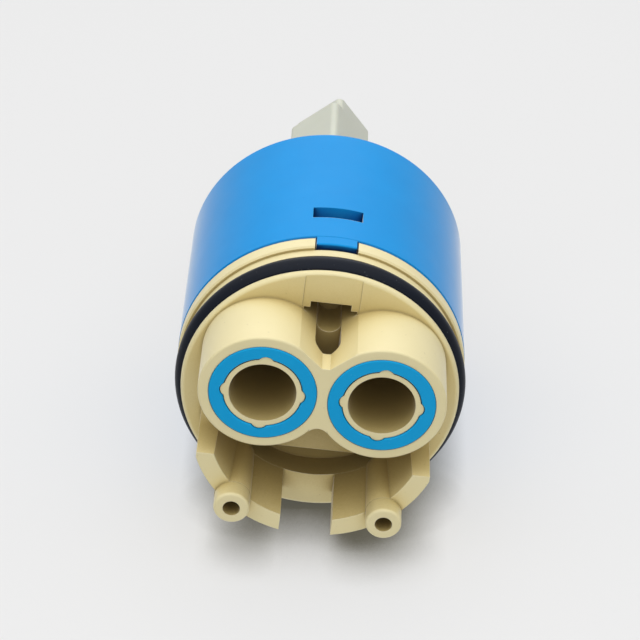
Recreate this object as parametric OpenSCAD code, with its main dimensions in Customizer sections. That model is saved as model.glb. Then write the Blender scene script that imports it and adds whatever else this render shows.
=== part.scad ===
// Single lever tap cartridge: two ceramic discs in a clipped housing on a tall base with two inlets.
// The long axis is Z with the lever upward. The origin is on the axis, level with the peg tips.

/* [Housing] */
// Outside diameter of the housing
body_d = 40; // [39.6:0.1:41]
// Wall of the housing
body_wall = 2.4; // [2.1:0.1:2.6]
// Thickness of the housing's top
ceiling_t = 3.15; // [2.6:0.05:4]
// Rounding of the housing's outer top edge
shoulder_round = 0.8; // [0.4:0.1:1.2]
// Wall of the neck round the rotor
neck_wall = 2.4; // [1.6:0.1:2.8]
// Height of the neck above the shoulder
neck_h = 3.6; // [2.6:0.1:5]
// Width of the clip windows
window_w = 6.9; // [6:0.1:8]
// Height of the clip windows
window_h = 2.7; // [2.4:0.1:3]
// Height of the clip windows above the rim
window_up = 5.3; // [4.6:0.1:5.8]
// Width of the locating tabs at the rim
tab_w = 5.5; // [4:0.1:7]
// Length of the locating tabs
tab_len = 1.75; // [1:0.05:2.2]
// Thickness of the locating tabs
tab_t = 1; // [0.6:0.05:1]
// Rounding of the tabs' outer end
tab_round = 0.25; // [0.2:0.05:0.55]

/* [Base flange] */
// Height of the front lip below the O-ring
lip_h = 0.76; // [0.7:0.02:1.2]
// Rounding of the front lip's edge
lip_round = 0.6; // [0.2:0.05:0.65]
// Step of the front lip inside the housing's diameter
lip_step = 0.9; // [0.7:0.05:1.1]
// Height of the land above the O-ring
land_h = 1.5; // [1:0.1:2.5]
// Step of that land inside the housing's diameter
land_step = 0.63; // [0.4:0.01:0.8]
// Height of the collar that carries the housing's rim
collar_h = 2.45; // [2.3:0.05:3.5]
// Section of the O-ring
o_ring_section = 2.9; // [2.6:0.1:3.1]
// How far the O-ring stands out of the housing's diameter, on the radius
o_ring_proud = 0.02; // [0:0.01:0.2]
// Wall of the cup that holds the fixed disc
cup_wall = 1.5; // [1.3:0.1:1.7]
// Depth of the fixed disc's seat below the housing's rim
seat_drop = 0.75; // [0.5:0.05:1]

/* [Inlets] */
// Length of the inlet tubes
tube_len = 10; // [9.5:0.5:14]
// Outside diameter of the inlet tubes
tube_d = 17.3; // [17:0.1:17.6]
// Rounding of the tubes' outer ends
tube_round = 0.3; // [0.1:0.05:0.5]
// Distance between the tube centres
inlet_pitch = 15.9; // [15.6:0.1:16.2]
// Distance of the tube centres from the axis, across the pitch
inlet_off = 5.65; // [5.4:0.05:5.8]
// Diameter of the inlet bores
inlet_d = 9; // [8.6:0.1:9.2]
// Wall of the lip between bore and seal
inlet_lip = 0.7; // [0.6:0.05:0.9]
// Outside diameter of the seal grooves
inlet_seal_d = 14.5; // [14:0.1:14.8]
// Depth of the seal grooves
inlet_seal_depth = 3; // [2:0.1:4]
// How far the inlet seals stand out of the tube ends
inlet_seal_proud = 0.15; // [0.1:0.05:0.4]
// Rounding of the inlet seals' edges
inlet_seal_round = 0.25; // [0.1:0.05:0.4]
// Reach of the seal retaining nubs past the lip
nub_h = 0.45; // [0.3:0.05:0.55]
// Radius of the nubs
nub_r = 1.1; // [0.9:0.05:1.3]
// Level of the flat valley floor between the tubes, from the axis
valley_y = 10.4; // [10.3:0.05:10.8]
// Width of the valley floor
valley_flat_w = 1.1; // [0.8:0.1:1.2]
// Width of the valley where its slopes meet the tubes
valley_w = 7.6; // [7:0.1:8]
// Depth of the mark that the valley's mould insert leaves on the flange
insert_mark = 0.06; // [0.02:0.01:0.1]
// Rounding of the lower notch between the tubes
notch_r = 1.55; // [1.2:0.05:2]
// Width of the slot through the web
web_slot_w = 3.4; // [2.6:0.1:3.6]
// Distance of the slot's round end from the tube ends
web_slot_in = 3.7; // [3:0.1:5]
// Width of the pocket in the flange above the web
pocket_w = 5.5; // [5:0.1:6]
// Width of the pocket's side wings
pocket_wing_w = 7.2; // [6.6:0.1:7.6]
// Height of the side wings
pocket_wing_h = 0.9; // [0.6:0.1:1.2]
// Height of the pocket above the wings
pocket_top = 0.9; // [0.6:0.1:1.3]
// Level of the wings' upper edge, from the axis
pocket_y = 13.5; // [13.2:0.1:13.8]
// Depth of the round groove in the pocket's bottom, below the valley floor
pocket_groove = 0.5; // [0.3:0.05:0.7]
// Depth of the pocket
pocket_depth = 5.7; // [3:0.1:5.8]

/* [Skirt and pegs] */
// Step of the skirt inside the flange's front lip
skirt_step = 2.2; // [1.8:0.1:2.6]
// Wall of the skirt at its end
skirt_wall = 2.5; // [2:0.1:3]
// Growth of that wall towards the flange, on the inside
skirt_draft = 0.5; // [0.3:0.05:0.6]
// How far the flats at the sides cut into the skirt
skirt_flat = 1.05; // [0.6:0.05:1.2]
// Rounding between the skirt's cut ends and the flange
skirt_root = 3.5; // [2:0.1:4]
// Distance of the skirt's cut ends from the axis
skirt_cut = 5.1; // [4.6:0.1:6]
// Width of the slot in the skirt
skirt_slot_w = 7.1; // [6:0.1:8]
// Distance between the pegs
peg_pitch = 20.7; // [20:0.1:21.4]
// Diameter of the pegs
peg_d = 4.9; // [4.4:0.1:5]
// Length of the pegs past the tube ends
peg_out = 2.8; // [2:0.1:3.4]
// Diameter of the cored hole in each peg
peg_hole_d = 2.35; // [1.8:0.05:2.6]
// Rounding of the peg tips
peg_round = 0.4; // [0.2:0.05:0.6]
// Depth of the cored hole
peg_hole_depth = 8; // [5:0.5:9]
// Diameter of the columns that carry the pegs
column_d = 5; // [5:0.1:5.4]

/* [Outlet] */
// Distance of the outlet port's centre line inside the cup's wall
outlet_port_in = 6.6; // [6.4:0.1:6.8]
// How far the outlet opening's straight edge lies outside that line
outlet_past = 0.1; // [0:0.1:0.6]
// Length of the outlet port between its end centres
outlet_port_len = 10; // [8:0.5:10]
// Width of the outlet port
outlet_port_w = 5.2; // [4.6:0.1:5.4]

/* [Discs and seals] */
// Thickness of the fixed disc
fixed_disc_t = 4.8; // [4.4:0.1:5.6]
// Thickness of the moving disc
moving_disc_t = 5; // [4.6:0.1:5.6]
// Distance between the disc's inlet ports
port_pitch = 13.2; // [13:0.1:13.6]
// Distance of the disc's inlet ports from the axis, across the pitch
port_off = 5.2; // [5:0.1:5.4]
// Diameter of the disc's inlet ports
port_d = 7.2; // [6.8:0.1:7.4]
// Land between a port and its seal
port_land = 0.7; // [0.5:0.05:0.8]
// Width of the port seals
port_seal_w = 1.6; // [1.3:0.1:1.7]
// Depth of the port seals
port_seal_depth = 2; // [1.5:0.1:2.2]
// Floor left under the port seals
port_floor = 1.2; // [1:0.1:1.5]
// Radius of the mixing chamber's round ends
chamber_r = 4.2; // [3.8:0.1:4.4]
// Distance of the chamber's inlet end from the disc's middle
chamber_front = 1.2; // [0.8:0.1:1.6]
// Distance of the chamber's outlet end inside the disc's edge
chamber_in = 7.5; // [7.3:0.1:7.9]
// Land between the chamber and its seal
chamber_land = 0.6; // [0.4:0.05:0.8]
// Width of the chamber seal
chamber_seal_w = 1.4; // [1.2:0.1:1.6]
// Depth of the chamber seal
chamber_seal_depth = 1; // [0.6:0.1:1]
// Width of the driving and locking notches in the discs
disc_notch_w = 3.4; // [3:0.1:4]
// Depth of those notches
disc_notch_depth = 1.5; // [1.2:0.1:1.6]
// Height of the keys that engage the notches
disc_key_h = 2.6; // [2:0.1:3.2]

/* [Carrier and rotor] */
// Height of the carrier
carrier_h = 7; // [6.6:0.1:7.6]
// Thickness of the carrier's round foot on the disc
carrier_foot_t = 1.2; // [1.1:0.1:1.4]
// Thickness of the carrier's guided plate
carrier_plate_t = 3.2; // [2.6:0.1:3.6]
// Width of the carrier between the guide walls
carrier_w = 24.4; // [23.6:0.2:25]
// Radius of the carrier's boss round the lever's foot
carrier_boss_r = 6.2; // [5.4:0.1:7]
// Height of the rotor's shoulder
rotor_h = 9.25; // [8.6:0.05:10]
// Radial gap between the rotor's shoulder and the housing
rotor_gap = 1.4; // [1.2:0.1:1.6]
// Width of the rotor's shoulder round its neck
rotor_shoulder_w = 4.7; // [4.2:0.1:4.9]
// How far the rotor's neck stands out of the housing's neck
rotor_out = 0.5; // [0:0.1:1.2]
// Thickness of the glide washer
washer_t = 0.8; // [0.5:0.1:1.2]
// Section of the rotor's O-ring
rotor_ring_section = 1.6; // [1.4:0.1:1.8]
// Diameter of the lever's cross pin
pin_d = 3.2; // [2.8:0.1:3.6]
// Length of the cross pin
pin_len = 21.6; // [20:0.2:22]
// Width of the turning stops
stop_w = 4; // [3:0.2:5]

/* [Lever] */
// Width of the lever's shank, along the cross pin
lever_w = 10.8; // [10:0.1:11.2]
// Depth of the lever's shank
lever_d = 9.2; // [8:0.1:9.4]
// Rounding of the shank's corners
lever_round = 1; // [0.5:0.1:1.6]
// Height of the shank's shoulder above the cross pin
shank_len = 41.6; // [26:0.2:44]
// Width of the stepped tip
tip_w = 8.3; // [5:0.1:9]
// Length of the stepped tip
tip_len = 3.3; // [2:0.1:8]
// Radius of the lever's ball foot
ball_r = 3.2; // [2.8:0.1:3.4]
// Distance from the cross pin to the ball's centre
arm_len = 9; // [8.8:0.1:9.4]
// Height of the ball's centre above the moving disc
ball_up = 5; // [4.8:0.1:5.2]
// Radius of the arm above the ball
arm_r = 2.3; // [2:0.1:2.4]
// Radius of the hub round the cross pin
hub_r = 4.4; // [4:0.1:4.8]
// Turn of the lever as it stands, from the middle position
rest_turn = 48; // [-48:1:48]

/* [Motion] */
// Turning range to each side of the middle position
turn_half = 50; // [40:1:55]
// Tilting range to each side of upright
tilt_half = 12.5; // [10:0.5:13]

/* [Clearances] */
// Gap between the base's plug and the housing
plug_gap = 0.1; // [0.05:0.01:0.15]
// Height of the open line between the collar and the housing's rim
rim_gap = 0.3; // [0.1:0.05:0.4]
// Gap round the tabs in their notches
tab_gap = 0.2; // [0.05:0.05:0.3]
// Gap between a clip and its window
clip_gap = 0.15; // [0.1:0.05:0.3]
// Gap round the fixed disc
disc_gap = 0.3; // [0.2:0.05:0.4]
// Water film between the discs
film_gap = 0.05; // [0.03:0.01:0.08]
// Gap at the sides of seals and rings in their grooves
seal_gap = 0.05; // [0.03:0.01:0.1]
// Gap between an inlet seal and the lip inside it
lip_gap = 0.12; // [0.08:0.02:0.3]
// Room beside the O-ring in its groove
groove_gap = 0.17; // [0.1:0.01:0.25]
// Radial gap round moving pieces
run_gap = 0.3; // [0.2:0.05:0.4]
// Sideways gap of the carrier in the rotor's guides
guide_gap = 0.15; // [0.08:0.01:0.25]
// Radial gap of the ball foot in its socket
ball_gap = 0.1; // [0.06:0.01:0.15]
// Radial gap of the lever on its pin
pin_gap = 0.05; // [0.03:0.01:0.08]
// Gap between the pin and its seat in the rotor
pin_seat_gap = 0.01; // [0.005:0.005:0.02]

/* [Hidden] */
$fn = 96;
eps = 0.01;

// Colours
housing_blue = "#2f96e0";
seal_blue = "#1790cf";
base_beige = "#ecdfb8";
rubber_black = "#22252b";
rubber_grey = "#3c4046";
ceramic_white = "#f2efe8";
acetal_white = "#dfe2cf";
carrier_grey = "#c9cccf";
steel_grey = "#a9adb2";

// Levels from the peg tips upward
end_z = peg_out;
face_z = end_z + tube_len;
groove_w = o_ring_section + 2 * groove_gap;
groove_z = face_z + lip_h;
land_z = groove_z + groove_w;
collar_z = land_z + land_h;
rim_z = collar_z + collar_h;
floor_z = rim_z - seat_drop;
duct_z = floor_z - port_seal_depth - port_floor;
fixed_top_z = floor_z + fixed_disc_t;
moving_z = fixed_top_z + film_gap;
carrier_z = moving_z + moving_disc_t;
carrier_top_z = carrier_z + carrier_h;
rotor_z = carrier_top_z + run_gap;
rotor_top_z = rotor_z + rotor_h;
washer_z = rotor_top_z + film_gap;
ceiling_z = washer_z + washer_t + film_gap;
shoulder_z = ceiling_z + ceiling_t;
neck_z = shoulder_z + neck_h;
ball_z = carrier_z + ball_up;
pivot_z = ball_z + arm_len;
cup_z = carrier_z + run_gap;
window_z = rim_z + window_up;

// Radii from the axis outward
body_r = body_d / 2;
body_ir = body_r - body_wall;
plug_r = body_ir - plug_gap;
cup_r = plug_r - cup_wall;
fixed_r = cup_r - disc_gap;
slide_half = arm_len * tilt_half * PI / 180;
moving_r = cup_r - slide_half - run_gap;
carrier_r = body_ir - slide_half - run_gap;
rotor_r = body_ir - rotor_gap;
rotor_neck_r = rotor_r - rotor_shoulder_w;
neck_bore_r = rotor_neck_r + run_gap;
neck_r = neck_bore_r + neck_wall;
lip_r = body_r - lip_step;
land_r = body_r - land_step;
collar_step = 0.05;
collar_r = body_r - collar_step;
rim_land_r = collar_r - 2 * rim_gap;
o_ring_mid_r = body_r + o_ring_proud - o_ring_section / 2;
groove_r = o_ring_mid_r - o_ring_section / 2 - seal_gap;
tube_r = tube_d / 2;
inlet_r = inlet_d / 2;
inlet_x = inlet_pitch / 2;
inlet_lip_r = inlet_r + inlet_lip;
inlet_seal_r = inlet_seal_d / 2;
skirt_r = lip_r - skirt_step;
skirt_ir = skirt_r - skirt_wall;
outlet_r = skirt_ir - skirt_draft;
outlet_port_off = cup_r - outlet_port_in;
outlet_chord = outlet_port_off + outlet_past;
peg_r = peg_d / 2;
peg_x = peg_pitch / 2;
peg_ring_r = skirt_r - skirt_wall / 2;
peg_y = -sqrt(peg_ring_r * peg_ring_r - peg_x * peg_x);
column_r = column_d / 2;
rotor_ring_mid_r = neck_bore_r - run_gap / 2 - rotor_ring_section / 2;
rotor_groove_w = rotor_ring_section + 2 * groove_gap;
rotor_ring_z = (ceiling_z + neck_z) / 2;
chamber_back = moving_r - chamber_in;
port_r = port_d / 2;
port_x = port_pitch / 2;
pin_r = pin_d / 2;

// Small edges
edge = 0.25;
clip_reach = 1.4;
clip_land = 0.3;
slit_w = 1;
slit_up = 1.2;
spring_w = window_w + 1.2;
stop_t = 1;
stop_h = 4;
stop_play = 2;
notch_bite = 0.03;

// Half width of the lever's opening in the rotor, with the shank tilted to its limit
slot_x = lever_w / 2 + run_gap;
slot_reach = neck_z + rotor_out - pivot_z;
slot_y = lever_d / 2 + slot_reach * tan(tilt_half) + 2 * run_gap;

// Rise of the valley's slopes, from the floor to where they meet the tubes
valley_slope = (inlet_off + sqrt(pow(tube_r, 2) - pow(inlet_x - valley_w / 2, 2)) - valley_y)
  / ((valley_w - valley_flat_w) / 2);

// Tangent arc of the lower notch between the tubes
notch_y = inlet_off - sqrt(pow(tube_r + notch_r, 2) - inlet_x * inlet_x);
notch_side_x = inlet_x * notch_r / (tube_r + notch_r);
notch_side_y = notch_y + (inlet_off - notch_y) * notch_r / (tube_r + notch_r);

function polar(r, a) = [r * cos(a), r * sin(a)];
function arc(centre, r, from, to, steps = 8) =
  [for (i = [0:steps]) centre + polar(r, from + (to - from) * i / steps)];

// A slot with round ends, centred at a and b along Y, or along X where flat is true
module oblong(r, a, b, h, flat = false) {
  rotate([0, 0, flat ? -90 : 0]) {
    translate([0, a, 0])
      cylinder(r = r, h = h);
    translate([0, b, 0])
      cylinder(r = r, h = h);
    translate([-r, min(a, b), 0])
      cube([2 * r, abs(b - a), h]);
  }
}

module outlet_port(grow, h) {
  translate([0, -outlet_port_off, 0])
    oblong(outlet_port_w / 2 + grow, -outlet_port_len / 2, outlet_port_len / 2, h, flat = true);
}

module ring(outer, inner, h) {
  difference() {
    cylinder(r = outer, h = h);
    translate([0, 0, -eps])
      cylinder(r = inner, h = h + 2 * eps);
  }
}

module o_ring(mid_r, section) {
  rotate_extrude()
    translate([mid_r, 0])
      circle(d = section, $fn = 48);
}

// A bar of w by d with rounded upright corners
module bar(w, d, h, r) {
  translate([-w / 2, -d / 2 + r, 0])
    cube([w, d - 2 * r, h]);
  translate([-w / 2 + r, -d / 2, 0])
    cube([w - 2 * r, d, h]);
  for (x = [-1, 1], y = [-1, 1])
    translate([x * (w / 2 - r), y * (d / 2 - r), 0])
      cylinder(r = r, h = h, $fn = 32);
}

module turned() {
  rotate([0, 0, rest_turn])
    children();
}

module front_and_back() {
  for (a = [0, 180])
    rotate([0, 0, a])
      children();
}

module at_inlets() {
  for (s = [-1, 1])
    translate([s * inlet_x, inlet_off, end_z])
      children();
}

module at_ports() {
  for (s = [-1, 1])
    translate([s * port_x, port_off, 0])
      children();
}

// Housing
module housing() {
  stop_angle = turn_half + 2 * asin(stop_w / 2 / (rotor_r + stop_t)) + stop_play;
  color(housing_blue)
    difference() {
      union() {
        rotate_extrude()
          polygon(concat([[body_ir, rim_z], [body_r - edge, rim_z], [body_r, rim_z + edge]],
            arc([body_r - shoulder_round, shoulder_z - shoulder_round], shoulder_round, 0, 90),
            [[neck_r, shoulder_z], [neck_r, neck_z - edge], [neck_r - edge, neck_z],
             [neck_bore_r, neck_z], [neck_bore_r, ceiling_z], [body_ir, ceiling_z]]));
        front_and_back()
          intersection() {
            translate([-tab_w / 2, 0, rim_z - tab_len])
              cube([tab_w, body_d, tab_len + 1]);
            rotate_extrude()
              polygon(concat([[body_r - tab_t, rim_z + 1], [body_r - tab_t, rim_z - tab_len]],
                arc([collar_r - tab_round, rim_z - tab_len + tab_round], tab_round, -90, 0),
                [[collar_r, rim_z + 1]]));
          }
        for (s = [-1, 1])
          rotate([0, 0, s * stop_angle - 90])
            translate([body_ir - stop_t, -stop_w / 2, rotor_z + run_gap])
              cube([stop_t + body_wall / 2, stop_w, ceiling_z - rotor_z]);
      }
      front_and_back()
        translate([-window_w / 2, 0, window_z])
          cube([window_w, body_d, window_h]);
    }
}

// Base
module flange_and_cup() {
  rotate_extrude()
    polygon(concat([[0, face_z]],
      arc([lip_r - lip_round, face_z + lip_round], lip_round, -90, 0),
      [[lip_r, groove_z], [groove_r, groove_z], [groove_r, land_z], [land_r, land_z], [land_r, collar_z],
       [collar_r - edge, collar_z], [collar_r, collar_z + edge], [collar_r, rim_z - rim_gap],
       [rim_land_r, rim_z - rim_gap], [rim_land_r, rim_z], [plug_r, rim_z], [plug_r, cup_z],
       [cup_r, cup_z], [cup_r, floor_z],
       [0, floor_z]]));
}

module inlet_tubes() {
  at_inlets()
    rotate_extrude()
      polygon(concat([[0, 0]], arc([tube_r - tube_round, tube_round], tube_round, -90, 0),
        [[tube_r, tube_len + lip_h], [0, tube_len + lip_h]]));
  translate([-inlet_x, inlet_off, end_z])
    cube([inlet_pitch, valley_y + valley_flat_w / 2 - inlet_off, tube_len + lip_h]);
  translate([-notch_side_x, notch_side_y, end_z])
    cube([2 * notch_side_x, inlet_off - notch_side_y, tube_len + lip_h]);
}

module inlet_cuts() {
  translate([0, notch_y, end_z - 1])
    cylinder(r = notch_r + notch_bite, h = tube_len + 1);
  at_inlets() {
    difference() {
      translate([0, 0, -eps])
        ring(inlet_seal_r, inlet_lip_r, inlet_seal_depth + eps);
      nubs(0);
    }
    translate([0, 0, -1])
      cylinder(r = inlet_r, h = duct_z - end_z + 1);
  }
  at_ports()
    translate([0, 0, duct_z - eps])
      cylinder(r = port_r, h = floor_z - duct_z + 1);
}

// Bumps on the lip that hold a face seal in its groove
module nubs(gap) {
  for (a = [0:90:270])
    rotate([0, 0, a])
      translate([inlet_lip_r + nub_h - nub_r, 0, -1])
        cylinder(r = nub_r + gap, h = inlet_seal_depth + 2, $fn = 48);
}

// The valley between the tubes, a flat floor with a slope to each side
module valley(z, h) {
  rise = inlet_off + tube_r - valley_y;
  half = valley_flat_w / 2;
  top_half = half + rise / valley_slope;
  translate([0, valley_y, z])
    linear_extrude(h)
      polygon([[-half, 0], [half, 0], [top_half, rise], [-top_half, rise]]);
}

// Valley, slot through the web and the pocket in the flange behind it
module web_cuts() {
  round_z = end_z + web_slot_in + web_slot_w / 2;
  groove_y = valley_y - pocket_groove + web_slot_w / 2;
  valley(end_z - 1, tube_len + 1);
  translate([-valley_w / 2 - insert_mark, pocket_y - pocket_wing_h, face_z - eps])
    cube([valley_w + 2 * insert_mark, body_r, insert_mark + eps]);
  translate([0, inlet_off + tube_r, round_z])
    rotate([90, 0, 0])
      cylinder(d = web_slot_w, h = 2 * tube_r + inlet_off);
  translate([-web_slot_w / 2, -inlet_off, round_z])
    cube([web_slot_w, tube_r + 2 * inlet_off, face_z - round_z]);
  translate([0, 0, face_z - eps]) {
    translate([0, groove_y, 0])
      cylinder(d = web_slot_w, h = pocket_depth);
    translate([-web_slot_w / 2, groove_y, 0])
      cube([web_slot_w, pocket_y - groove_y, pocket_depth]);
    intersection() {
      valley(0, pocket_depth);
      translate([-pocket_wing_w / 2, 0, 0])
        cube([pocket_wing_w, pocket_y, pocket_depth]);
    }
    translate([-pocket_w / 2, pocket_y - pocket_wing_h, 0])
      cube([pocket_w, pocket_wing_h + pocket_top, pocket_depth]);
  }
}

module skirt() {
  half_w = skirt_r - skirt_flat;
  difference() {
    intersection() {
      translate([0, 0, end_z])
        cylinder(r = skirt_r, h = tube_len + lip_h);
      translate([-half_w, -body_d, 0])
        cube([2 * half_w, body_d - skirt_cut + skirt_root, body_d]);
    }
    translate([0, 0, end_z - eps])
      cylinder(r1 = skirt_ir, r2 = outlet_r, h = tube_len + lip_h + 2 * eps);
    translate([-body_d, -skirt_cut, 0])
      cube([2 * body_d, body_d, face_z - skirt_root]);
    translate([-body_d, skirt_root - skirt_cut, face_z - skirt_root])
      rotate([0, 90, 0])
        cylinder(r = skirt_root, h = 2 * body_d);
    translate([-skirt_slot_w / 2, -body_d, 0])
      cube([skirt_slot_w, body_d, face_z]);
  }
}

module pegs() {
  for (s = [-1, 1])
    translate([s * peg_x, peg_y, 0]) {
      rotate_extrude()
        polygon(concat([[0, 0]], arc([peg_r - peg_round, peg_round], peg_round, -90, 0),
          [[peg_r, end_z + 1], [0, end_z + 1]]));
      translate([0, 0, end_z])
        cylinder(r = column_r, h = tube_len + lip_h);
    }
}

module outlet_cuts() {
  intersection() {
    translate([0, 0, face_z - eps])
      cylinder(r = outlet_r, h = duct_z - face_z + eps);
    translate([-body_d, -body_d - outlet_chord, 0])
      cube([2 * body_d, body_d, floor_z]);
  }
  translate([0, 0, duct_z - eps])
    outlet_port(0, floor_z - duct_z + 1);
}

module port_seal_grooves() {
  translate([0, 0, floor_z - port_seal_depth]) {
    at_ports()
      ring(port_r + port_land + port_seal_w, port_r + port_land, port_seal_depth + 1);
    difference() {
      outlet_port(port_land + port_seal_w, port_seal_depth + 1);
      translate([0, 0, -eps])
        outlet_port(port_land, port_seal_depth + 2);
    }
  }
}

// Clips that snap into the housing's windows, each on a tongue of the cup
module clips() {
  catch_z = window_z + clip_gap;
  root_r = plug_r - cup_wall / 2;
  front_and_back()
    intersection() {
      rotate_extrude()
        polygon([[root_r, catch_z], [plug_r + clip_reach, catch_z],
          [plug_r + clip_reach, catch_z + clip_land], [root_r, window_z + window_h - clip_gap]]);
      translate([-window_w / 2 + clip_gap, 0, 0])
        cube([window_w - 2 * clip_gap, body_d, neck_z]);
    }
}

module clip_slits() {
  front_and_back()
    for (s = [-1, 1])
      translate([s * (spring_w + slit_w) / 2 - slit_w / 2, cup_r - 1, rim_z + slit_up])
        cube([slit_w, cup_wall + 2, cup_z - rim_z]);
}

module base() {
  color(base_beige)
    difference() {
      union() {
        flange_and_cup();
        difference() {
          union() {
            inlet_tubes();
            skirt();
            pegs();
          }
          translate([0, 0, groove_z])
            ring(body_d, groove_r, body_d);
        }
        clips();
        key_blocks();
      }
      inlet_cuts();
      web_cuts();
      outlet_cuts();
      port_seal_grooves();
      clip_slits();
      tab_notches();
      for (s = [-1, 1])
        translate([s * peg_x, peg_y, -1])
          cylinder(d = peg_hole_d, h = peg_hole_depth + 1);
    }
}

// Keys at the sides of the cup that stop the fixed disc turning
module key_blocks() {
  for (s = [-1, 1])
    intersection() {
      translate([s * fixed_r - disc_notch_depth, -disc_notch_w / 2 + disc_gap, floor_z - eps])
        cube([2 * disc_notch_depth, disc_notch_w - 2 * disc_gap, disc_key_h]);
      translate([0, 0, floor_z - 1])
        ring(cup_r + cup_wall / 2, fixed_r - disc_notch_depth + disc_gap, disc_key_h + 2);
    }
}

module tab_notches() {
  front_and_back()
    intersection() {
      translate([-tab_w / 2 - tab_gap, 0, collar_z - eps])
        cube([tab_w + 2 * tab_gap, body_d, collar_h + 2 * eps]);
      translate([0, 0, collar_z - 1])
        ring(body_d, body_r - tab_t - tab_gap, collar_h + 2);
    }
}

module base_o_ring() {
  color(rubber_black)
    translate([0, 0, groove_z + groove_w / 2])
      o_ring(o_ring_mid_r, o_ring_section);
}

// Flat face seal of one inlet
module inlet_seal(side) {
  inner = inlet_lip_r + lip_gap;
  outer = inlet_seal_r - seal_gap;
  color(seal_blue)
    translate([side * inlet_x, inlet_off, end_z - inlet_seal_proud])
      difference() {
        rotate_extrude()
          polygon(concat(arc([inner + inlet_seal_round, inlet_seal_round], inlet_seal_round, 180, 270),
            arc([outer - inlet_seal_round, inlet_seal_round], inlet_seal_round, -90, 0),
            [[outer, inlet_seal_depth + inlet_seal_proud], [inner, inlet_seal_depth + inlet_seal_proud]]));
        nubs(lip_gap);
      }
}

module inlet_seal_hot() {
  inlet_seal(-1);
}

module inlet_seal_cold() {
  inlet_seal(1);
}

// Round seal under the fixed disc at one inlet
module port_seal(side) {
  color(rubber_grey)
    translate([side * port_x, port_off, floor_z - port_seal_depth])
      ring(port_r + port_land + port_seal_w - seal_gap, port_r + port_land + seal_gap, port_seal_depth);
}

module port_seal_hot() {
  port_seal(-1);
}

module port_seal_cold() {
  port_seal(1);
}

module port_seal_outlet() {
  color(rubber_grey)
    translate([0, 0, floor_z - port_seal_depth])
      difference() {
        outlet_port(port_land + port_seal_w - seal_gap, port_seal_depth);
        translate([0, 0, -eps])
          outlet_port(port_land + seal_gap, port_seal_depth + 1);
      }
}

// Two notches in the side of a disc of radius r
module disc_notches(r, h) {
  for (s = [-1, 1])
    translate([s * r - disc_notch_depth, -disc_notch_w / 2, -eps])
      cube([2 * disc_notch_depth, disc_notch_w, h + 2 * eps]);
}

module fixed_disc() {
  color(ceramic_white)
    translate([0, 0, floor_z])
      difference() {
        cylinder(r = fixed_r, h = fixed_disc_t);
        disc_notches(fixed_r, fixed_disc_t);
        translate([0, 0, -1]) {
          at_ports()
            cylinder(r = port_r, h = fixed_disc_t + 2);
          outlet_port(0, fixed_disc_t + 2);
        }
      }
}

module chamber(grow, h) {
  oblong(chamber_r + grow, -chamber_back, chamber_front, h);
}

module moving_disc() {
  color(ceramic_white)
    turned()
      translate([0, 0, moving_z])
        difference() {
          cylinder(r = moving_r, h = moving_disc_t);
          disc_notches(moving_r, moving_disc_t);
          translate([0, 0, -1])
            chamber(0, moving_disc_t + 2);
        }
}

module chamber_seal() {
  color(rubber_grey)
    turned()
      translate([0, 0, carrier_z])
        difference() {
          chamber(chamber_land + chamber_seal_w - seal_gap, chamber_seal_depth);
          translate([0, 0, -eps])
            chamber(chamber_land + seal_gap, chamber_seal_depth + 1);
        }
}

// Carrier: a foot on the moving disc, a plate between the rotor's guides and a socket for the lever's ball
module carrier() {
  plate_z = carrier_z + carrier_foot_t;
  socket_z = ball_z - ball_r - run_gap;
  color(carrier_grey)
    turned()
      difference() {
        union() {
          translate([0, 0, carrier_z])
            cylinder(r = moving_r, h = carrier_foot_t);
          intersection() {
            translate([0, 0, plate_z])
              cylinder(r = carrier_r, h = carrier_plate_t);
            translate([-carrier_w / 2, -body_d, plate_z])
              cube([carrier_w, 2 * body_d, carrier_plate_t]);
          }
          translate([0, 0, carrier_z])
            cylinder(r = carrier_boss_r, h = carrier_h);
          intersection() {
            translate([0, 0, carrier_z - disc_key_h])
              ring(moving_r, moving_r - disc_notch_depth + disc_gap, disc_key_h + eps);
            translate([-body_d, -disc_notch_w / 2 + disc_gap, 0])
              cube([2 * body_d, disc_notch_w - 2 * disc_gap, neck_z]);
          }
        }
        difference() {
          translate([0, 0, carrier_z - eps])
            chamber(chamber_land + chamber_seal_w, chamber_seal_depth + eps);
          translate([0, 0, carrier_z - 1])
            chamber(chamber_land, chamber_seal_depth + 2);
        }
        translate([0, 0, socket_z])
          cylinder(r = ball_r + ball_gap, h = carrier_h);
      }
}

// Rotor: a neck through the housing, a shoulder, two guide walls and a stop lug
module rotor() {
  guide_x = carrier_w / 2 + guide_gap;
  guide_z = carrier_z + carrier_foot_t + run_gap;
  color(acetal_white)
    turned()
      difference() {
        union() {
          translate([0, 0, rotor_z])
            cylinder(r = rotor_r, h = rotor_h);
          translate([0, 0, rotor_z])
            cylinder(r = rotor_neck_r, h = neck_z + rotor_out - rotor_z);
          for (s = [-1, 1])
            intersection() {
              translate([0, 0, guide_z])
                cylinder(r = rotor_r, h = rotor_z - guide_z + eps);
              translate([s * (guide_x + body_r / 2) - body_r / 2, -body_r, guide_z])
                cube([body_r, body_d, rotor_z - guide_z + eps]);
            }
          translate([-stop_w / 2, -rotor_r - stop_t, rotor_z + run_gap])
            cube([stop_w, rotor_r, stop_h]);
        }
        translate([-slot_x, -slot_y, rotor_z - 1])
          cube([2 * slot_x, 2 * slot_y, neck_z]);
        translate([-pin_len / 2, 0, pivot_z])
          rotate([0, 90, 0])
            cylinder(r = pin_r + pin_seat_gap, h = body_d);
        translate([0, 0, rotor_ring_z - rotor_groove_w / 2])
          ring(neck_r, rotor_ring_mid_r - rotor_ring_section / 2 - seal_gap, rotor_groove_w);
      }
}

module rotor_o_ring() {
  color(rubber_black)
    translate([0, 0, rotor_ring_z])
      o_ring(rotor_ring_mid_r, rotor_ring_section);
}

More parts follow.
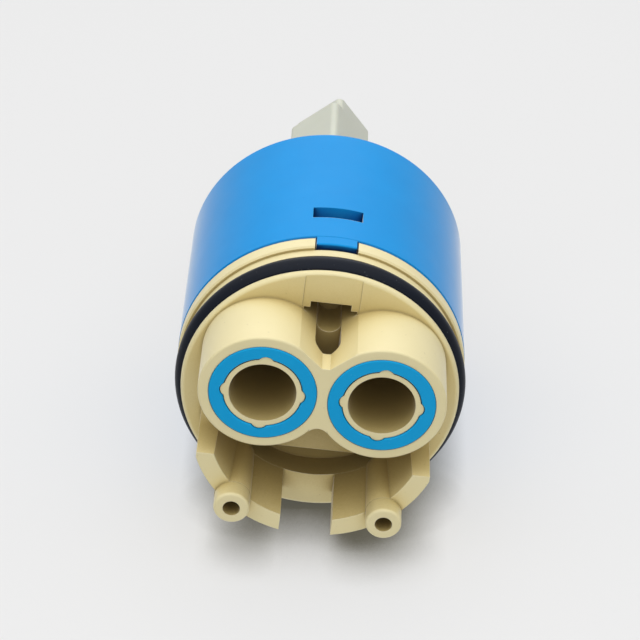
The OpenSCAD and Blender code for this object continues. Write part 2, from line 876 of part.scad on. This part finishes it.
module glide_washer() {
  color(acetal_white)
    translate([0, 0, washer_z])
      ring(rotor_r - run_gap, neck_bore_r, washer_t);
}

module pivot_pin() {
  color(steel_grey)
    turned()
      translate([-pin_len / 2, 0, pivot_z])
        rotate([0, 90, 0])
          cylinder(r = pin_r, h = pin_len);
}

// Lever: ball foot, arm, hub on the cross pin, shank and stepped tip
module lever() {
  color(acetal_white)
    turned()
      difference() {
        union() {
          translate([0, 0, ball_z])
            sphere(r = ball_r);
          translate([0, 0, ball_z])
            cylinder(r = arm_r, h = arm_len);
          translate([-lever_w / 2, 0, pivot_z])
            rotate([0, 90, 0])
              cylinder(r = hub_r, h = lever_w);
          translate([0, 0, pivot_z])
            bar(lever_w, lever_d, shank_len, lever_round);
          translate([0, 0, pivot_z + shank_len - eps])
            bar(tip_w, lever_d, tip_len + eps, lever_round);
        }
        translate([-lever_w, 0, pivot_z])
          rotate([0, 90, 0])
            cylinder(r = pin_r + pin_gap, h = 2 * lever_w);
      }
}

housing();
base();
base_o_ring();
inlet_seal_hot();
inlet_seal_cold();
port_seal_hot();
port_seal_cold();
port_seal_outlet();
fixed_disc();
moving_disc();
chamber_seal();
carrier();
rotor();
rotor_o_ring();
glide_washer();
pivot_pin();
lever();
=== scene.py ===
import math
import bmesh
import bpy
from mathutils import Matrix, Vector


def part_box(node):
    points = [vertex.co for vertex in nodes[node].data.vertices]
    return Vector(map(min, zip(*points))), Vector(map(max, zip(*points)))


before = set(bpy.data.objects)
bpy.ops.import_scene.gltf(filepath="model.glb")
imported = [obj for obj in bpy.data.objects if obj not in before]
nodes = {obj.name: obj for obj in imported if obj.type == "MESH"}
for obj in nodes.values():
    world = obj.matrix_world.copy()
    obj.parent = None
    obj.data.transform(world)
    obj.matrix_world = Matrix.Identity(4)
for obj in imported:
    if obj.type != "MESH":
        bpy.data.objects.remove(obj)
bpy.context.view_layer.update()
mm = 0.001
print("frame loaded:", len(nodes), "nodes")


def toLinear(hexCode):
    parts = [int(hexCode[i:i + 2], 16) / 255 for i in (1, 3, 5)]
    return [p / 12.92 if p <= 0.04045 else ((p + 0.055) / 1.055) ** 2.4 for p in parts] + [1.0]


def perMetre(sizeMm):
    return 1.0 / (sizeMm * mm)  # a pattern of this size in mm, as a texture scale


def addNode(tree, kind, settings=None, links=None):
    node = tree.nodes.new(kind)
    for key, value in (settings or {}).items():
        if isinstance(key, int) or key in node.inputs:
            node.inputs[key].default_value = value
        else:
            setattr(node, key, value)
    for key, source in (links or {}).items():
        tree.links.new(source, node.inputs[key])
    return node


def newMaterial(name):
    material = bpy.data.materials.new(name)
    material.use_nodes = True
    tree = material.node_tree
    tree.nodes.clear()
    return material, tree


# Materials

# Limits that the moulded plastics share: how open a place is where the painted warm shade, the painted edge highlight
# or the painted seam shade begins and ends, how far a broken edge turns before it takes the painted highlight, where
# flecks begin, how wide the sheen spreads, and how many rays look round.
mouldingLook = {"warmShadeFrom": 0.5, "warmShadeTo": 0.95, "crestFrom": 0.65, "crestTo": 0.95, "seamShadeFrom": 0.5,
                "seamShadeTo": 0.92, "levelFrom": 0.98, "levelTo": 0.8, "fleckFrom": 0.72, "fleckTo": 0.78,
                "bloomSpread": 0.24, "depthByColour": (1.0, 0.7, 0.35), "openRays": 8, "nearRays": 6}


# Injection moulded plastic: an even colour with faint flow clouds and a few flecks, a satin gloss that varies a
# little where the tool was polished, a pale sheen at the sides, and a very fine grain from the tool's surface. Broken
# edges carry a painted highlight. Hollows carry a painted warm shade, deep recesses a painted dark shade, and seams
# and narrow gaps a thin line of painted shade; all of these follow how open the surface is.
def mouldedPlastic(name, look):
    shared = mouldingLook
    material, tree = newMaterial(name)
    place = addNode(tree, "ShaderNodeTexCoord").outputs["Object"]
    cloud = addNode(tree, "ShaderNodeTexNoise", {"Scale": perMetre(look["cloudMm"]), "Detail": 3.0,
                                                 "Roughness": 0.55}, {"Vector": place})
    tint = addNode(tree, "ShaderNodeMix", {"data_type": "RGBA", 6: toLinear(look["dark"]),
                                           7: toLinear(look["light"])}, {0: cloud.outputs["Fac"]})
    openness = addNode(tree, "ShaderNodeAmbientOcclusion", {"samples": shared["openRays"],
                                                            "Distance": look["paintedShadeMm"] * mm})
    # Painted warm shade: hollows turn warmer the less open they are.
    paintedWarmShadeMask = addNode(tree, "ShaderNodeMapRange", {"From Min": shared["warmShadeFrom"], "From Max": shared["warmShadeTo"],
                                                  "To Min": look["warmShadeShare"], "To Max": 0.0},
                     {"Value": openness.outputs["AO"]})
    paintedWarmShade = addNode(tree, "ShaderNodeMix", {"data_type": "RGBA", 7: toLinear(look["warmShadeColour"])},
                     {0: paintedWarmShadeMask.outputs[0], 6: tint.outputs[2]})
    # Painted shade: deep recesses darken towards the recess colour the less open they are (the same colour also
    # serves the flecks).
    paintedRecessShadeMask = addNode(tree, "ShaderNodeMapRange", {"From Min": look["paintedShadeFrom"], "From Max": look["paintedShadeTo"],
                                                "To Min": look["paintedShadeShare"], "To Max": 0.0},
                   {"Value": openness.outputs["AO"]})
    paintedRecessShade = addNode(tree, "ShaderNodeMix", {"data_type": "RGBA", 7: toLinear(look["recessShadeAndFleck"])},
                     {0: paintedRecessShadeMask.outputs[0], 6: paintedWarmShade.outputs[2]})
    broken = addNode(tree, "ShaderNodeBevel", {"samples": shared["nearRays"], "Radius": look["edgeMm"] * mm})
    face = addNode(tree, "ShaderNodeNewGeometry")
    level = addNode(tree, "ShaderNodeVectorMath", {"operation": "DOT_PRODUCT"},
                    {0: broken.outputs[0], 1: face.outputs["Normal"]})
    near = addNode(tree, "ShaderNodeAmbientOcclusion", {"samples": shared["nearRays"],
                                                        "Distance": look["seamMm"] * mm})
    # Painted highlight: rounded outer edges turn paler where the bevel normal turns away from the face.
    crest = addNode(tree, "ShaderNodeMapRange", {"From Min": shared["crestFrom"], "From Max": shared["crestTo"],
                                                 "To Max": look["edgeShare"]},
                    {"Value": near.outputs["AO"]})  # only outer edges get the painted highlight
    paintedEdgeHighlightMask = addNode(tree, "ShaderNodeMapRange", {"From Min": shared["levelFrom"], "From Max": shared["levelTo"]},
                   {"Value": level.outputs["Value"], "To Max": crest.outputs[0]})
    edged = addNode(tree, "ShaderNodeMix", {"data_type": "RGBA", 7: toLinear(look["edge"])},
                    {0: paintedEdgeHighlightMask.outputs[0], 6: paintedRecessShade.outputs[2]})
    # Painted shade: seams and narrow gaps get a thin dark line the less open they are close by.
    paintedSeamShadeMask = addNode(tree, "ShaderNodeMapRange", {"From Min": shared["seamShadeFrom"], "From Max": shared["seamShadeTo"],
                                                 "To Min": look["seamShadeShare"], "To Max": 0.0},
                    {"Value": near.outputs["AO"]})
    paintedSeamShade = addNode(tree, "ShaderNodeMix", {"data_type": "RGBA", 7: toLinear(look["seamShade"])},
                    {0: paintedSeamShadeMask.outputs[0], 6: edged.outputs[2]})
    fleck = addNode(tree, "ShaderNodeTexNoise", {"Scale": perMetre(look["fleckMm"]), "Detail": 2.0},
                    {"Vector": place})
    sparse = addNode(tree, "ShaderNodeMapRange", {"From Min": shared["fleckFrom"], "From Max": shared["fleckTo"],
                                                  "To Max": look["fleckShare"]}, {"Value": fleck.outputs["Fac"]})
    flecked = addNode(tree, "ShaderNodeMix", {"data_type": "RGBA", 7: toLinear(look["recessShadeAndFleck"])},
                      {0: sparse.outputs[0], 6: paintedSeamShade.outputs[2]})
    polish = addNode(tree, "ShaderNodeTexNoise", {"Scale": perMetre(look["polishMm"]), "Detail": 2.0},
                     {"Vector": place})
    gloss = addNode(tree, "ShaderNodeMapRange", {"To Min": look["roughness"] - look["roughnessSpread"],
                                                 "To Max": look["roughness"] + look["roughnessSpread"]},
                    {"Value": polish.outputs["Fac"]})
    grain = addNode(tree, "ShaderNodeTexNoise", {"Scale": perMetre(look["grainMm"]), "Detail": 2.0},
                    {"Vector": place})
    bump = addNode(tree, "ShaderNodeBump", {"Strength": look["grainStrength"], "Distance": look["grainDepth"] * mm},
                   {"Height": grain.outputs["Fac"], "Normal": broken.outputs[0]})
    shader = addNode(tree, "ShaderNodeBsdfPrincipled",
                     {"IOR": look["ior"], "Specular IOR Level": look["shine"],
                      "Sheen Weight": look["bloom"], "Sheen Roughness": shared["bloomSpread"],
                      "Subsurface Weight": look["translucency"], "Subsurface Scale": look["depthMm"] * mm,
                      "Subsurface Radius": shared["depthByColour"]},
                     {"Base Color": flecked.outputs[2], "Roughness": gloss.outputs[0], "Normal": bump.outputs[0]})
    addNode(tree, "ShaderNodeOutputMaterial", None, {"Surface": shader.outputs[0]})
    return material


# Compression moulded rubber: a dull skin, slightly cloudy from handling, with a few pale specks of dust.
def mouldedRubber(name, look):
    material, tree = newMaterial(name)
    place = addNode(tree, "ShaderNodeTexCoord").outputs["Object"]
    cloud = addNode(tree, "ShaderNodeTexNoise", {"Scale": perMetre(look["cloudMm"]), "Detail": 4.0,
                                                 "Roughness": 0.6}, {"Vector": place})
    tint = addNode(tree, "ShaderNodeMix", {"data_type": "RGBA", 6: toLinear(look["dark"]),
                                           7: toLinear(look["light"])}, {0: cloud.outputs["Fac"]})
    speck = addNode(tree, "ShaderNodeTexNoise", {"Scale": perMetre(look["speckMm"]), "Detail": 1.0},
                    {"Vector": place})
    dust = addNode(tree, "ShaderNodeMapRange", {"From Min": look["speckFrom"], "From Max": look["speckTo"],
                                                "To Max": look["speckShare"]}, {"Value": speck.outputs["Fac"]})
    dusted = addNode(tree, "ShaderNodeMix", {"data_type": "RGBA", 7: toLinear(look["dust"])},
                     {0: dust.outputs[0], 6: tint.outputs[2]})
    gloss = addNode(tree, "ShaderNodeMapRange", {"To Min": look["roughness"] - look["roughnessSpread"],
                                                 "To Max": look["roughness"] + look["roughnessSpread"]},
                    {"Value": cloud.outputs["Fac"]})
    grain = addNode(tree, "ShaderNodeTexNoise", {"Scale": perMetre(look["grainMm"]), "Detail": 3.0},
                    {"Vector": place})
    bump = addNode(tree, "ShaderNodeBump", {"Strength": look["grainStrength"], "Distance": look["grainDepth"] * mm},
                   {"Height": grain.outputs["Fac"]})
    shader = addNode(tree, "ShaderNodeBsdfPrincipled", {"IOR": look["ior"], "Specular IOR Level": look["shine"]},
                     {"Base Color": dusted.outputs[2], "Roughness": gloss.outputs[0], "Normal": bump.outputs[0]})
    addNode(tree, "ShaderNodeOutputMaterial", None, {"Surface": shader.outputs[0]})
    return material


housingAbsLook = {"dark": "#008cd6", "light": "#0297e2", "cloudMm": 9.0, "warmShadeColour": "#0074cc", "warmShadeShare": 0.2,
                  "recessShadeAndFleck": "#0238a0", "paintedShadeMm": 3.0, "paintedShadeFrom": 0.15, "paintedShadeTo": 0.75, "paintedShadeShare": 0.8,
                  "edge": "#3fa9ea", "edgeMm": 0.15, "edgeShare": 0.3, "seamShade": "#041f49", "seamMm": 1.2,
                  "seamShadeShare": 0.95, "fleckMm": 0.5, "fleckShare": 0.15, "roughness": 0.48, "roughnessSpread": 0.05,
                  "polishMm": 4.0, "grainMm": 0.12, "grainStrength": 0.25, "grainDepth": 0.01, "ior": 1.54,
                  "shine": 0.14, "bloom": 1.0, "translucency": 0.0, "depthMm": 0.3}
baseAcetalLook = {"dark": "#e6d9a6", "light": "#efe3b4", "cloudMm": 7.0, "warmShadeColour": "#d2b554", "warmShadeShare": 0.52,
                  "recessShadeAndFleck": "#664b14", "paintedShadeMm": 17.0, "paintedShadeFrom": 0.15, "paintedShadeTo": 0.73, "paintedShadeShare": 0.75,
                  "edge": "#fbf4d6", "edgeMm": 0.16, "edgeShare": 0.7, "seamShade": "#5f4714", "seamMm": 0.5,
                  "seamShadeShare": 0.35, "fleckMm": 0.45, "fleckShare": 0.3, "roughness": 0.46, "roughnessSpread": 0.06,
                  "polishMm": 3.0, "grainMm": 0.15, "grainStrength": 0.25, "grainDepth": 0.012, "ior": 1.48,
                  "shine": 0.5, "bloom": 0.3, "translucency": 0.0, "depthMm": 0.6}
leverAcetalLook = {"dark": "#c5c8b8", "light": "#d0d2c4", "cloudMm": 8.0, "warmShadeColour": "#b9b99c", "warmShadeShare": 0.3,
                   "recessShadeAndFleck": "#6e6f62", "paintedShadeMm": 4.0, "paintedShadeFrom": 0.1, "paintedShadeTo": 0.7, "paintedShadeShare": 0.6,
                   "edge": "#e6e8dc", "edgeMm": 0.25, "edgeShare": 0.4, "seamShade": "#55564c", "seamMm": 0.75,
                   "seamShadeShare": 0.35, "fleckMm": 0.5, "fleckShare": 0.2, "roughness": 0.42, "roughnessSpread": 0.05,
                   "polishMm": 4.0, "grainMm": 0.15, "grainStrength": 0.2, "grainDepth": 0.01, "ior": 1.48,
                   "shine": 0.5, "bloom": 0.2, "translucency": 0.1, "depthMm": 1.0}
carrierAcetalLook = {"dark": "#bfc3c6", "light": "#cfd2d4", "cloudMm": 6.0, "warmShadeColour": "#a9adb0", "warmShadeShare": 0.3,
                     "recessShadeAndFleck": "#5c5f62", "paintedShadeMm": 4.0, "paintedShadeFrom": 0.1, "paintedShadeTo": 0.7, "paintedShadeShare": 0.6,
                     "edge": "#dfe2e4", "edgeMm": 0.15, "edgeShare": 0.4, "seamShade": "#4a4d50", "seamMm": 0.5,
                     "seamShadeShare": 0.35, "fleckMm": 0.5, "fleckShare": 0.2, "roughness": 0.45,
                     "roughnessSpread": 0.05, "polishMm": 3.0, "grainMm": 0.15, "grainStrength": 0.2,
                     "grainDepth": 0.01, "ior": 1.48, "shine": 0.5, "bloom": 0.2, "translucency": 0.1,
                     "depthMm": 0.5}
ringNitrileLook = {"dark": "#060a14", "light": "#0c1422", "cloudMm": 3.0, "dust": "#6f7479", "speckMm": 0.35,
                   "speckFrom": 0.74, "speckTo": 0.8, "speckShare": 0.35, "roughness": 0.4, "roughnessSpread": 0.08,
                   "grainMm": 0.2, "grainStrength": 0.3, "grainDepth": 0.015, "ior": 1.52, "shine": 0.13}
sealSiliconeLook = {"dark": "#029edc", "light": "#08a8e4", "cloudMm": 4.0, "dust": "#9fd0e6", "speckMm": 0.35,
                    "speckFrom": 0.76, "speckTo": 0.82, "speckShare": 0.3, "roughness": 0.55,
                    "roughnessSpread": 0.06, "grainMm": 0.2, "grainStrength": 0.25, "grainDepth": 0.015,
                    "ior": 1.43, "shine": 0.25}
portNitrileLook = {"dark": "#2e3136", "light": "#3b3f45", "cloudMm": 3.0, "dust": "#8d9196", "speckMm": 0.5,
                   "speckFrom": 0.76, "speckTo": 0.82, "speckShare": 0.3, "roughness": 0.5, "roughnessSpread": 0.06,
                   "grainMm": 0.2, "grainStrength": 0.3, "grainDepth": 0.015, "ior": 1.52, "shine": 0.4}


# Sintered alumina, lapped flat: a cold near white with a faint speckle, smooth enough to shine.
discAluminaLook = {"dark": "#e6e3db", "light": "#f2f0ea", "speckMm": 0.3, "roughness": 0.22, "roughnessSpread": 0.04,
                   "lapMm": 0.08, "lapStrength": 0.1, "lapDepth": 0.004, "ior": 1.76}


def lappedAlumina(name, look):
    material, tree = newMaterial(name)
    place = addNode(tree, "ShaderNodeTexCoord").outputs["Object"]
    speck = addNode(tree, "ShaderNodeTexNoise", {"Scale": perMetre(look["speckMm"]), "Detail": 3.0},
                    {"Vector": place})
    tint = addNode(tree, "ShaderNodeMix", {"data_type": "RGBA", 6: toLinear(look["dark"]),
                                           7: toLinear(look["light"])}, {0: speck.outputs["Fac"]})
    gloss = addNode(tree, "ShaderNodeMapRange", {"To Min": look["roughness"] - look["roughnessSpread"],
                                                 "To Max": look["roughness"] + look["roughnessSpread"]},
                    {"Value": speck.outputs["Fac"]})
    lap = addNode(tree, "ShaderNodeTexNoise", {"Scale": perMetre(look["lapMm"])}, {"Vector": place})
    bump = addNode(tree, "ShaderNodeBump", {"Strength": look["lapStrength"], "Distance": look["lapDepth"] * mm},
                   {"Height": lap.outputs["Fac"]})
    shader = addNode(tree, "ShaderNodeBsdfPrincipled", {"IOR": look["ior"]},
                     {"Base Color": tint.outputs[2], "Roughness": gloss.outputs[0], "Normal": bump.outputs[0]})
    addNode(tree, "ShaderNodeOutputMaterial", None, {"Surface": shader.outputs[0]})
    return material


# Drawn stainless steel wire, cut to length: fine lines along the pin.
pinSteelLook = {"dark": "#9a9da1", "light": "#b8bbbf", "lineMm": 0.08, "lineRunMm": 4.0, "roughness": 0.28,
                "roughnessSpread": 0.06, "lineStrength": 0.2, "lineDepth": 0.005}


def drawnSteel(name, look, along):
    material, tree = newMaterial(name)
    place = addNode(tree, "ShaderNodeTexCoord").outputs["Object"]
    turned = addNode(tree, "ShaderNodeMapping", {"vector_type": "TEXTURE", "Rotation": (0, 0, along)},
                     {"Vector": place})
    drawn = addNode(tree, "ShaderNodeMapping", {"Scale": (perMetre(look["lineRunMm"]), perMetre(look["lineMm"]),
                                                          perMetre(look["lineMm"]))},
                    {"Vector": turned.outputs[0]})
    lines = addNode(tree, "ShaderNodeTexNoise", {"Scale": 1.0, "Detail": 2.0}, {"Vector": drawn.outputs[0]})
    tint = addNode(tree, "ShaderNodeMix", {"data_type": "RGBA", 6: toLinear(look["dark"]),
                                           7: toLinear(look["light"])}, {0: lines.outputs["Fac"]})
    gloss = addNode(tree, "ShaderNodeMapRange", {"To Min": look["roughness"] - look["roughnessSpread"],
                                                 "To Max": look["roughness"] + look["roughnessSpread"]},
                    {"Value": lines.outputs["Fac"]})
    bump = addNode(tree, "ShaderNodeBump", {"Strength": look["lineStrength"], "Distance": look["lineDepth"] * mm},
                   {"Height": lines.outputs["Fac"]})
    shader = addNode(tree, "ShaderNodeBsdfPrincipled", {"Metallic": 1.0},
                     {"Base Color": tint.outputs[2], "Roughness": gloss.outputs[0], "Normal": bump.outputs[0]})
    addNode(tree, "ShaderNodeOutputMaterial", None, {"Surface": shader.outputs[0]})
    return material


pinLow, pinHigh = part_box("pivot_pin")
restTurn = math.atan2(pinHigh.y - pinLow.y, pinHigh.x - pinLow.x)
housingAbs = mouldedPlastic("housingAbsSatinMoulded", housingAbsLook)
baseAcetal = mouldedPlastic("baseAcetalMoulded", baseAcetalLook)
leverAcetal = mouldedPlastic("leverAcetalMoulded", leverAcetalLook)
carrierAcetal = mouldedPlastic("carrierAcetalMoulded", carrierAcetalLook)
ringNitrile = mouldedRubber("ringNitrileMoulded", ringNitrileLook)
sealSilicone = mouldedRubber("sealSiliconeMoulded", sealSiliconeLook)
portNitrile = mouldedRubber("portNitrileMoulded", portNitrileLook)
discAlumina = lappedAlumina("discAluminaLapped", discAluminaLook)
pinSteel = drawnSteel("pinSteelDrawn", pinSteelLook, restTurn)
print("materials made")

nodeFinish = {
    "housing": housingAbs, "base": baseAcetal, "base_o_ring": ringNitrile, "inlet_seal_hot": sealSilicone,
    "inlet_seal_cold": sealSilicone, "port_seal_hot": portNitrile, "port_seal_cold": portNitrile,
    "port_seal_outlet": portNitrile, "fixed_disc": discAlumina, "moving_disc": discAlumina,
    "chamber_seal": portNitrile, "carrier": carrierAcetal, "rotor": leverAcetal, "rotor_o_ring": ringNitrile,
    "glide_washer": leverAcetal, "pivot_pin": pinSteel, "lever": leverAcetal}
for name, material in nodeFinish.items():
    nodes[name].data.materials.clear()
    nodes[name].data.materials.append(material)
print("nodes finished")

# Table: the cartridge lies on its side, so the table is a plane that touches the housing. It is seen from its upper
# side only. A share of it glows, so the shadow beside the part stays faint, and close to the part a painted contact
# shadow darkens it. It throws an even light back up, and it takes no lamp's light away from the views behind it.
tableLook = {"colour": "#eaeaea", "shade": "#67655b", "shadeMm": 8.8, "shadeFrom": 0.38, "shadeTo": 0.97,
             "shadeRays": 16, "glowShare": 0.65, "bounce": 0.6, "fadeFromMm": 160.0, "fadeToMm": 450.0,
             "side": 1.6, "lean": 7.35}
ringLow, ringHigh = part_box("base_o_ring")
housingLow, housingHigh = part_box("housing")
restRadius = (housingHigh.x - housingLow.x) / 2  # the housing is the widest round, so it carries the part
tableUp = Vector((math.sin(math.radians(tableLook["lean"])), math.cos(math.radians(tableLook["lean"])), 0))
ringMiddle = Vector((0, 0, (ringLow.z + ringHigh.z) / 2))


def makeTable(look):
    tableMesh = bmesh.new()
    bmesh.ops.create_grid(tableMesh, x_segments=1, y_segments=1, size=look["side"])
    turn = Vector((0, 0, 1)).rotation_difference(tableUp).to_matrix().to_4x4()
    bmesh.ops.transform(tableMesh, matrix=Matrix.Translation(ringMiddle - tableUp * restRadius) @ turn,
                        verts=tableMesh.verts)
    mesh = bpy.data.meshes.new("table")
    tableMesh.to_mesh(mesh)
    tableMesh.free()
    table = bpy.data.objects.new("table", mesh)
    bpy.context.scene.collection.objects.link(table)
    material, tree = newMaterial("tablePaintedMatt")
    # Painted contact shadow: the table's colour darkens towards the shade colour the less open it is near the part.
    near = addNode(tree, "ShaderNodeAmbientOcclusion", {"samples": look["shadeRays"],
                                                        "Distance": look["shadeMm"] * mm})
    contact = addNode(tree, "ShaderNodeMapRange", {"From Min": look["shadeFrom"], "From Max": look["shadeTo"]},
                      {"Value": near.outputs["AO"]})
    shaded = addNode(tree, "ShaderNodeMix", {"data_type": "RGBA", 6: toLinear(look["shade"]),
                                             7: toLinear(look["colour"])}, {0: contact.outputs[0]})
    paint = addNode(tree, "ShaderNodeBsdfDiffuse", None, {"Color": shaded.outputs[2]})
    glow = addNode(tree, "ShaderNodeEmission", None, {"Color": shaded.outputs[2]})
    path = addNode(tree, "ShaderNodeLightPath")
    place = addNode(tree, "ShaderNodeTexCoord")
    reach = addNode(tree, "ShaderNodeVectorMath", {"operation": "LENGTH"}, {0: place.outputs["Object"]})
    far = addNode(tree, "ShaderNodeMapRange",
                  {"From Min": look["fadeFromMm"] * mm, "From Max": look["fadeToMm"] * mm,
                   "To Min": look["glowShare"], "To Max": 1.0},
                  {"Value": reach.outputs["Value"]})  # far off, the table fades into the pale room
    share = addNode(tree, "ShaderNodeMath", {"operation": "MULTIPLY"},
                    {0: far.outputs["Result"], 1: path.outputs["Is Camera Ray"]})
    lit = addNode(tree, "ShaderNodeMixShader", None, {0: share.outputs[0], 1: paint.outputs[0], 2: glow.outputs[0]})
    bounce = addNode(tree, "ShaderNodeEmission", {"Color": toLinear(look["colour"]), "Strength": look["bounce"]})
    felt = addNode(tree, "ShaderNodeMixShader", None,
                   {0: path.outputs["Is Diffuse Ray"], 1: lit.outputs[0], 2: bounce.outputs[0]})
    clear = addNode(tree, "ShaderNodeBsdfTransparent")
    side = addNode(tree, "ShaderNodeNewGeometry")
    surface = addNode(tree, "ShaderNodeMixShader", None,
                      {0: side.outputs["Backfacing"], 1: felt.outputs[0], 2: clear.outputs[0]})
    addNode(tree, "ShaderNodeOutputMaterial", None, {"Surface": surface.outputs[0]})
    mesh.materials.append(material)
    table.visible_shadow = False


makeTable(tableLook)
print("table made")

# Light: a wide soft lamp over the table and a large soft one in front, weak ones behind and below, and a dim pale
# room. Power is in watts, sizes and distance in metres. Up is away from the table, back is towards the lever.
lightLook = {"seen": "#eaeaea", "room": "#ffffff", "roomStrength": 0.3}
lampLooks = {
    "overheadLamp": {"power": 3.95, "wide": 1.8, "deep": 0.6, "away": 0.6, "up": 1.0, "back": 0.1},
    "frontLamp": {"power": 2.1, "wide": 0.9, "deep": 0.6, "away": 0.6, "up": 0.7, "back": -0.71},
    "backLamp": {"power": 0.6, "wide": 0.4, "deep": 0.4, "away": 0.6, "up": 0.6, "back": 0.8},
    "underLamp": {"power": 1.4, "wide": 0.5, "deep": 0.5, "away": 0.6, "up": -1.0, "back": 0.0}}


def makeRoom(look):
    world = bpy.data.worlds.new("paleRoom")
    bpy.context.scene.world = world
    world.use_nodes = True
    tree = world.node_tree
    tree.nodes.clear()
    room = addNode(tree, "ShaderNodeBackground", {"Color": toLinear(look["room"]), "Strength": look["roomStrength"]})
    seen = addNode(tree, "ShaderNodeBackground", {"Color": toLinear(look["seen"])})
    path = addNode(tree, "ShaderNodeLightPath")
    direct = addNode(tree, "ShaderNodeMath", {"operation": "MAXIMUM"},
                     {0: path.outputs["Is Camera Ray"], 1: path.outputs["Is Glossy Ray"]})
    shown = addNode(tree, "ShaderNodeMath", {"operation": "MAXIMUM"},
                    {0: direct.outputs[0], 1: path.outputs["Is Transmission Ray"]})
    mixed = addNode(tree, "ShaderNodeMixShader", None,
                    {0: shown.outputs[0], 1: room.outputs[0], 2: seen.outputs[0]})
    addNode(tree, "ShaderNodeOutputWorld", None, {"Surface": mixed.outputs[0]})


def makeLamp(name, look):
    lamp = bpy.data.lights.new(name, "AREA")
    lamp.shape = "RECTANGLE"
    lamp.size = look["wide"]
    lamp.size_y = look["deep"]
    lamp.energy = look["power"]
    holder = bpy.data.objects.new(name, lamp)
    bpy.context.scene.collection.objects.link(holder)
    way = tableUp * look["up"] + Vector((0, 0, look["back"]))
    holder.location = ringMiddle + way.normalized() * look["away"]
    depth = (-way).normalized()
    sideways = Vector((1, 0, 0))
    across = (sideways - depth * sideways.dot(depth)).normalized()
    turn = Matrix((across, across.cross(depth), -depth)).transposed()
    holder.rotation_euler = turn.to_euler()


makeRoom(lightLook)
for name, look in lampLooks.items():
    makeLamp(name, look)

# Camera: in front of the inlet tubes and above the table, as the photograph was taken. Its place is in mm.
cameraLook = {"place": (13.77, 196.70, -279.53), "forward": (-0.03620, -0.53454, 0.84437),
              "up": (0.10840, 0.83784, 0.53505), "lens": 144.8, "sensor": 36.0, "clipFrom": 0.01}


def makeCamera(look):
    data = bpy.data.cameras.new("photoCamera")
    data.lens = look["lens"]
    data.sensor_width = look["sensor"]
    data.clip_start = look["clipFrom"]
    camera = bpy.data.objects.new("photoCamera", data)
    bpy.context.scene.collection.objects.link(camera)
    forward = Vector(look["forward"]).normalized()
    right = forward.cross(Vector(look["up"])).normalized()
    up = right.cross(forward)
    turn = Matrix((right, up, -forward)).transposed().to_4x4()
    camera.matrix_world = Matrix.Translation(Vector(look["place"]) * mm) @ turn
    bpy.context.scene.camera = camera


makeCamera(cameraLook)
bpy.context.scene.view_settings.view_transform = "Standard"
print("light and camera set")
